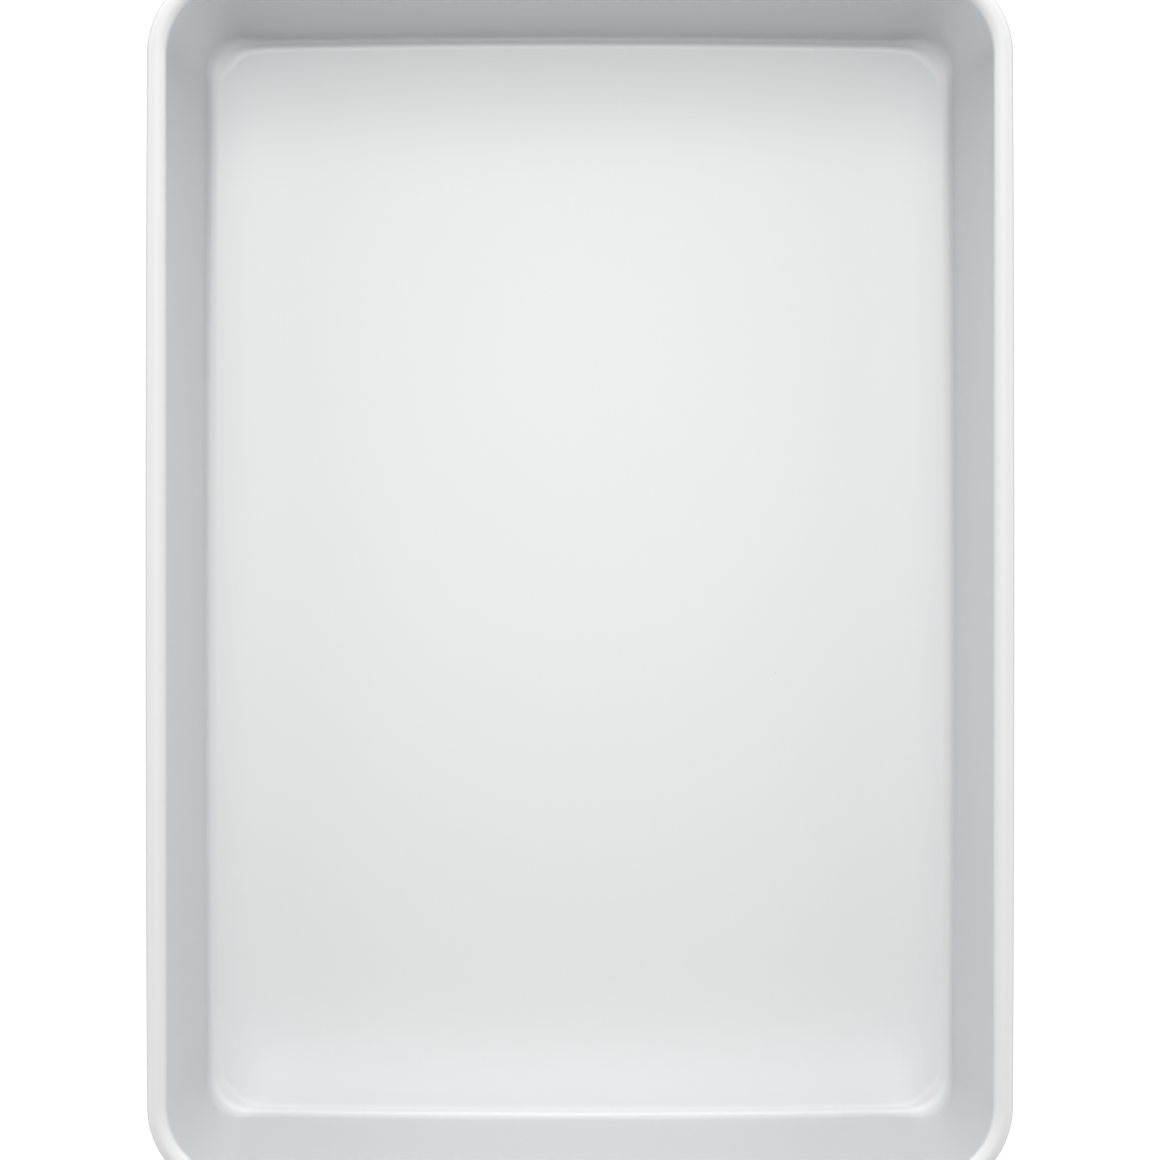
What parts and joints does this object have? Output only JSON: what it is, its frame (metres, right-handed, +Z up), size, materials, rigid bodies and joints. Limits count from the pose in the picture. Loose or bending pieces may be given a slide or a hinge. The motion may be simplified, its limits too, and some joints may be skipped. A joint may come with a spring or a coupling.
{
  "type": "rectangular cake pan",
  "caption": "Deep rectangular baking pan with rounded corners, a round fillet at the floor and a rolled, wired rim.",
  "frame": {"origin": "centre of the flat underside, on the surface that the pan stands on", "axes": "+Z up out of the mouth, +Y along the long side, +X along the short side"},
  "size_m": [0.2406, 0.3422, 0.0518],
  "materials": {
    "pan_sheet": "satin anodised",
    "rim_wire": "galvanised, hidden in the curl"
  },
  "bodies": {
    "root": {"pan_body": "pan_sheet", "rim_wire": "rim_wire"}
  },
  "joints": []
}
